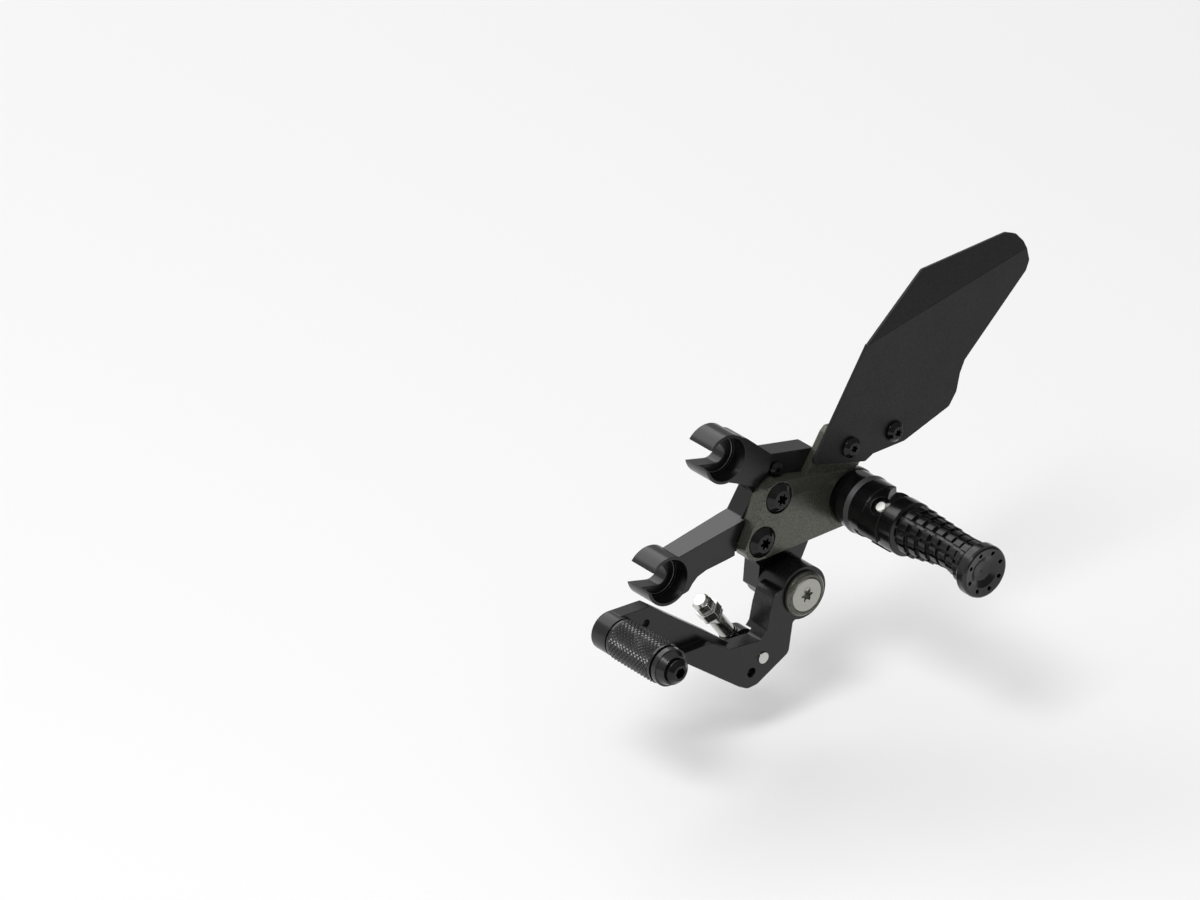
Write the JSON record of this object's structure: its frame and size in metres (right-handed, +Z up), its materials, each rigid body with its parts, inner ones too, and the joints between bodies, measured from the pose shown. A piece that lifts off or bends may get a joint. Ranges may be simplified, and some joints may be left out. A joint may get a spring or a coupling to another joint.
{
  "type": "motorcycle rear set footrest",
  "caption": "Adjustable footrest bracket with open claws, folding ribbed peg, heel guard and pivoted shift lever with knurled toe peg.",
  "frame": {"origin": "centre of the upper claw slot on the face that meets the motorcycle frame", "axes": "+X toward the rear of the motorcycle, -Y outboard along the footpeg, +Z up; the part is drawn as it is fitted on the bike"},
  "size_m": [0.2721, 0.1169, 0.1888],
  "materials": {
    "black": "black satin anodised aluminium",
    "olive": "olive grey satin anodised aluminium",
    "grey_ring": "grey anodised, fine turned",
    "guard": "black fine textured coating on sheet",
    "dark_screw": "black oxide steel",
    "steel": "bright steel",
    "bronze": "plain bearing bronze",
    "silver_bolt": "silver anodised, matt",
    "black_plastic": "black plastic washer"
  },
  "bodies": {
    "bracket": {"claw_bracket": "black", "adapter_plate": "olive", "plate_bolt_upper": "dark_screw", "plate_bolt_lower": "dark_screw", "block_screw": "dark_screw", "heel_guard": "guard", "guard_screw_front": "dark_screw", "guard_screw_rear": "dark_screw", "peg_root": "black", "peg_root_ring": "grey_ring", "peg_root_bolt": "dark_screw", "hinge_pin": "steel", "split_pin": "steel", "peg_spring": "steel", "pivot_sleeve": "steel", "pivot_ring": "olive", "pivot_bolt": "silver_bolt"},
    "folding_peg": {"foot_peg": "black"},
    "lever": {"shift_lever": "black", "hub_bush_outer": "bronze", "hub_bush_inner": "bronze", "toe_bolt": "dark_screw", "toe_collar": "black", "toe_washer_inner": "black_plastic", "toe_washer_outer": "black_plastic", "rod_stud": "steel"},
    "toe_roller": {"toe_sleeve": "black"},
    "rod_end": {"rod_eye": "black", "rod_shank": "steel", "rod_jam_nut": "steel", "rod_stub": "steel"}
  },
  "joints": [
    {"name": "peg_fold", "type": "hinge", "parent": "bracket", "child": "folding_peg", "pos_m": [0.079, -0.0479, -0.0453], "axis": [-0.6428, 0, 0.766], "range_deg": [0, 44], "stiffness_Nm_per_rad": 0.25, "springref_deg": -34.38},
    {"name": "lever_pivot", "type": "hinge", "parent": "bracket", "child": "lever", "pos_m": [0.036, -0.0227, -0.078], "axis": [0, -1, 0], "range_deg": [-10, 10]},
    {"name": "toe_roller_spin", "type": "hinge", "parent": "lever", "child": "toe_roller", "pos_m": [-0.0742, -0.0415, -0.0673], "axis": [0, -1, 0], "continuous": true},
    {"name": "rod_end_swivel", "type": "hinge", "parent": "lever", "child": "rod_end", "pos_m": [0.011, -0.0115, -0.1054], "axis": [0, -1, 0], "range_deg": [-15, 15]}
  ]
}
